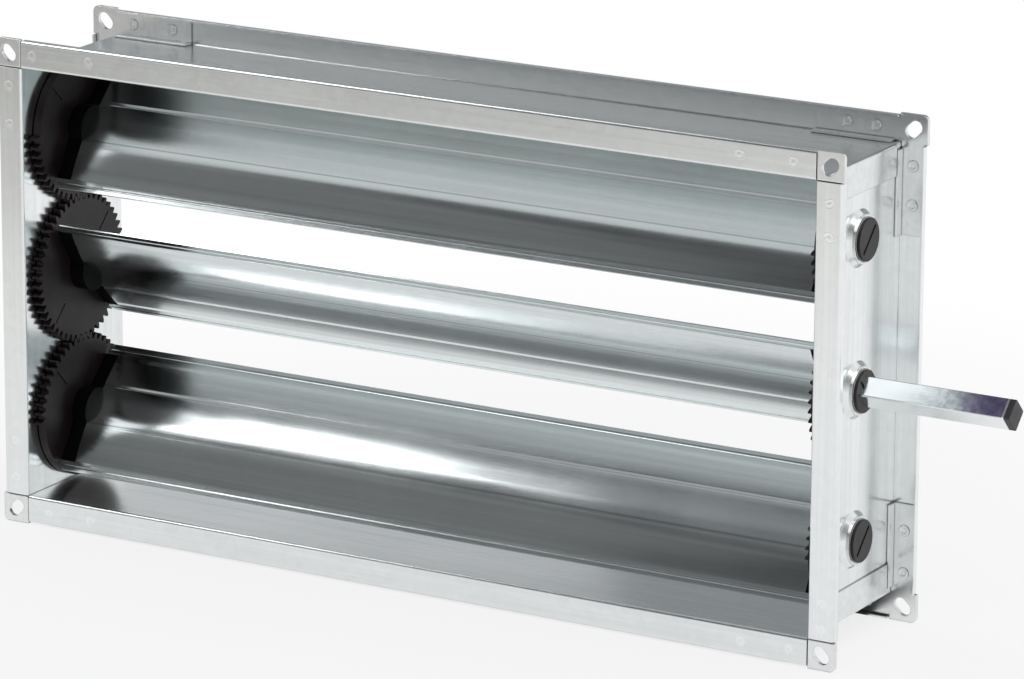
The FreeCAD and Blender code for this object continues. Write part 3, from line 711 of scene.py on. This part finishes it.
# %% [markdown]
# ## Clinch buttons inside the flanges
#
# On the side away from the punch, every clinch joint stands out as a flat round
# button with a hollow middle. They are real relief that catches the light, so
# they are modelled: a circle is filled, raised and bevelled with bmesh operators
# at each place.

# %% Clinch buttons
BRACKET_FACE = 57.15 * MM  # depth of the brackets' inner faces
BUTTON_RADIUS = 3.9 * MM
BUTTON_HEIGHT = 0.9 * MM
BUTTON_LAND = 1.7 * MM  # width of the flat ring round the hollow
HOLLOW_SLOPE, HOLLOW_DROP = 0.5 * MM, 0.45 * MM
BUTTON_ROUND = 0.5 * MM


def button(target, centre, toward):
    """One button: its base at the centre, rising toward -1 or +1 along Y."""
    turn = Matrix.Rotation(math.radians(90 if toward < 0 else -90), 4, "X")
    place = Matrix.Translation(centre) @ turn
    made = bmesh.ops.create_circle(target, cap_ends=True, segments=24, radius=BUTTON_RADIUS,
                                   matrix=place)
    base = made["verts"][0].link_faces[0]
    raised = bmesh.ops.extrude_face_region(target, geom=[base])["geom"]
    top_verts = [v for v in raised if isinstance(v, bmesh.types.BMVert)]
    bmesh.ops.translate(target, vec=Vector((0, toward * BUTTON_HEIGHT, 0)), verts=top_verts)
    top = next(f for f in raised if isinstance(f, bmesh.types.BMFace))
    rim = list(top.edges)
    bmesh.ops.inset_region(target, faces=[top], thickness=BUTTON_LAND)
    bmesh.ops.inset_region(target, faces=[top], thickness=HOLLOW_SLOPE, depth=-HOLLOW_DROP)
    bmesh.ops.bevel(target, geom=rim, offset=BUTTON_ROUND, affect="EDGES", segments=3,
                    profile=0.5, material=-1)


def make_buttons():
    mesh = bmesh.new()
    for x, y, z in MARKS:
        depth = 1 if y > 0 else -1
        button(mesh, Vector((x * MM, depth * BRACKET_FACE, z * MM)), -depth)
    bmesh.ops.recalc_face_normals(mesh, faces=mesh.faces)
    made = finished_piece("clinch_buttons", mesh, bracket_zinc)
    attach(made, "frame")
    return made


buttons = make_buttons()
print("clinch buttons:", len(buttons.data.polygons), "faces")

# %% [markdown]
# ## Floor
#
# The floor is a sheet of pale paper. To the camera it glows plain white further
# off, and near the damper a fifth of it stays a real surface that keeps the
# shadow. Bright metal shows the paper too, so glossy rays see the same glow, a
# little dimmer and warmer towards the front left, where the room is darker. Under
# the damper itself they see a painted shadow: the paper's colour is darkened there
# for glossy rays only.

# %% Floor material
FLOOR_LEVEL = -170.2 * MM
FOOTPRINT = (285 * MM, 58 * MM)  # half length and half depth of the dark floor
SHADOW_REACH = (0.37, 0.88)  # from the middle, metres
NEAR_GLOW = 0.80
PAINTED_SHADOW_DARKNESS = 0.85
FRONT_LEFT = (-0.6, -0.5, 0)
ROOM_TONES = [(0.0, (1, 1, 1)), (0.45, (0.88, 0.87, 0.845)), (1.0, (0.47, 0.465, 0.44))]
WHITE = (1, 1, 1)


def outside_footprint(tree, place):
    """1 on the open floor, and 0 below the damper."""
    split = node(tree, "SeparateXYZ", Vector=place).outputs
    sides = [
        maths(tree, "GREATER_THAN", maths(tree, "ABSOLUTE", split[axis]), half)
        for axis, half in zip("XY", FOOTPRINT)
    ]
    return maths(tree, "MAXIMUM", *sides)


def floor_material():
    material, tree, shader, place = new_material("Pale floor")
    shader.inputs["Roughness"].default_value = 0.9
    rays = node(tree, "LightPath").outputs
    mirrored = maths(tree, "MAXIMUM", rays["Is Glossy Ray"], rays["Is Transmission Ray"])
    mirrored_open = maths(tree, "MULTIPLY", mirrored, outside_footprint(tree, place))
    painted_shadow = maths(tree, "SUBTRACT", mirrored, mirrored_open)
    cloud = noise(tree, place, 3.0, detail=3.0)["Fac"]
    paper_tone = ramp(tree, cloud, [(0.0, 0.84), (1.0, 0.88)])
    # Painted shadow: for glossy rays the paper's colour is darkened below the damper.
    painted_shadow_tone = maths(tree, "MULTIPLY_ADD", painted_shadow, -PAINTED_SHADOW_DARKNESS, 1.0)
    join(tree, vector_maths(tree, "SCALE", paper_tone, Scale=painted_shadow_tone), shader.inputs["Base Color"])

    away = fade(tree, vector_maths(tree, "DOT_PRODUCT", place, FRONT_LEFT), 0.25, 1.25)
    paper = mixed(tree, rays["Is Camera Ray"], ramp(tree, away, ROOM_TONES, smooth=False), WHITE)
    glow = node(tree, "Emission", Strength=1.0, Color=paper)
    seen = maths(tree, "MAXIMUM", rays["Is Camera Ray"], mirrored_open)
    share = fade(tree, vector_maths(tree, "LENGTH", place), *SHADOW_REACH, low=NEAR_GLOW,
                 smooth=True)
    blend = node(tree, "MixShader")
    join(tree, maths(tree, "MULTIPLY", seen, share), blend.inputs[0])
    join(tree, shader.outputs[0], blend.inputs[1])
    join(tree, glow.outputs[0], blend.inputs[2])
    join(tree, blend.outputs[0], tree.nodes["Material Output"].inputs["Surface"])
    return material


# %% Floor
def make_floor():
    mesh = bmesh.new()
    bmesh.ops.create_grid(mesh, x_segments=1, y_segments=1, size=8.0,
                          matrix=Matrix.Translation((0, 0, FLOOR_LEVEL)))
    made = finished_piece("floor", mesh, floor_material())
    return made


floor = make_floor()
print("floor at", FLOOR_LEVEL)

# %% [markdown]
# ## World
#
# The world is white to the camera. For the object's light and reflections it is a
# room: pale low down, dim above, and darkest in front, at the height that the
# blades mirror towards the camera. At the back on the right it stays pale nearly to
# the top, because the side wall mirrors that part.

# %% World
FRONT_SKY = [  # share of the way from straight down to straight up, and the light there
    (0.50, (0.85, 0.85, 0.85)), (0.585, (0.64, 0.64, 0.64)), (0.64, (0.46, 0.46, 0.46)),
    (0.71, (0.16, 0.16, 0.16)), (0.79, (0.06, 0.06, 0.06)), (0.90, (0.16, 0.165, 0.17)),
    (1.0, (0.40, 0.41, 0.42)),
]
BACK_SKY = [
    (0.50, (0.60, 0.62, 0.63)), (0.57, (0.42, 0.44, 0.45)), (0.635, (0.28, 0.295, 0.305)),
    (0.75, (0.22, 0.235, 0.24)), (0.88, (0.24, 0.25, 0.26)), (1.0, (0.40, 0.41, 0.42)),
]
RIGHT_SKY = [(0.50, (0.98, 0.98, 0.98)), (0.80, (0.95, 0.95, 0.95)), (0.92, (0.50, 0.51, 0.52))]


def studio_world():
    world = bpy.data.worlds.new("Studio")
    world.use_nodes = True
    tree = world.node_tree
    way = node(tree, "SeparateXYZ", Vector=node(tree, "TexCoord").outputs["Generated"]).outputs
    upward = maths(tree, "MULTIPLY_ADD", way["Z"], 0.5, 0.5)
    backward = fade(tree, way["Y"], -0.5, 0.5, smooth=True)
    rightward = fade(tree, way["X"], 0.05, 0.35, smooth=True)
    back = mixed(tree, rightward, ramp(tree, upward, BACK_SKY), ramp(tree, upward, RIGHT_SKY))
    room = mixed(tree, backward, ramp(tree, upward, FRONT_SKY), back)
    camera_ray = node(tree, "LightPath").outputs["Is Camera Ray"]
    join(tree, mixed(tree, camera_ray, room, WHITE), tree.nodes["Background"].inputs["Color"])
    return world


scene = bpy.context.scene
scene.world = studio_world()
print("world:", len(scene.world.node_tree.nodes), "nodes")

# %% [markdown]
# ## Lamps
#
# Sheet metal is lit by what it mirrors, so every lamp is a soft rectangle. The
# large one overhead lights the flanges, the box on the left draws the bright band
# along the blades, and the strip behind it catches the upper edges. Two weak ones
# lift the inside of the bottom wall and the damper's left end. The camera doesn't
# see them.

# %% Lamps
LAMPS = [  # name, place, aim, length and width, watts
    ("overhead", (1.1, -0.35, 2.1), (0.1, 0, 0), (2.4, 2.2), 24),
    ("left box", (-1.47, -0.56, 1.8), (-0.1, 0, -0.05), (0.58, 0.5), 5),
    ("edge strip", (-1.2, 0.48, 2.0), (0, 0, 0), (1.0, 0.6), 6),
    ("low back", (-0.66, 0.80, 0.10), (-0.17, 0, -0.15), (0.60, 0.22), 0.17),
    ("left fill", (-1.15, -1.10, 1.05), (-0.1, 0, 0), (1.1, 0.6), 0.24),
]


def soft_lamp(name, place, aim, size, power):
    data = bpy.data.lights.new(name, "AREA")
    data.shape = "RECTANGLE"
    data.size, data.size_y = size
    data.energy = power
    lamp = bpy.data.objects.new(name, data)
    lamp.location = place
    toward = Vector(aim) - Vector(place)
    lamp.rotation_euler = toward.to_track_quat("-Z", "Y").to_euler()
    lamp.visible_camera = False
    bpy.context.collection.objects.link(lamp)
    return lamp


for lamp in LAMPS:
    print("lamp:", soft_lamp(*lamp).name)

# %% [markdown]
# ## Camera
#
# The camera stands where the photograph's did: before the damper, to its right and
# a little above, with a long lens. Its place and turn were fitted to the corners
# of the flanges.

# %% Camera
CAMERA_PLACE = (1.89856, -3.21198, 1.02688)
CAMERA_TURN = (74.4732, -0.3024, 30.0365)  # degrees
LENS, SENSOR = 205.2, 36.0  # millimetres

camera_data = bpy.data.cameras.new("photo view")
camera_data.sensor_width = SENSOR
camera_data.lens = LENS
camera_data.clip_end = 50.0
camera = bpy.data.objects.new("photo view", camera_data)
camera.location = CAMERA_PLACE
camera.rotation_euler = [math.radians(angle) for angle in CAMERA_TURN]
bpy.context.collection.objects.link(camera)
scene.camera = camera
scene.view_settings.view_transform = "Standard"
print("camera at", CAMERA_PLACE)
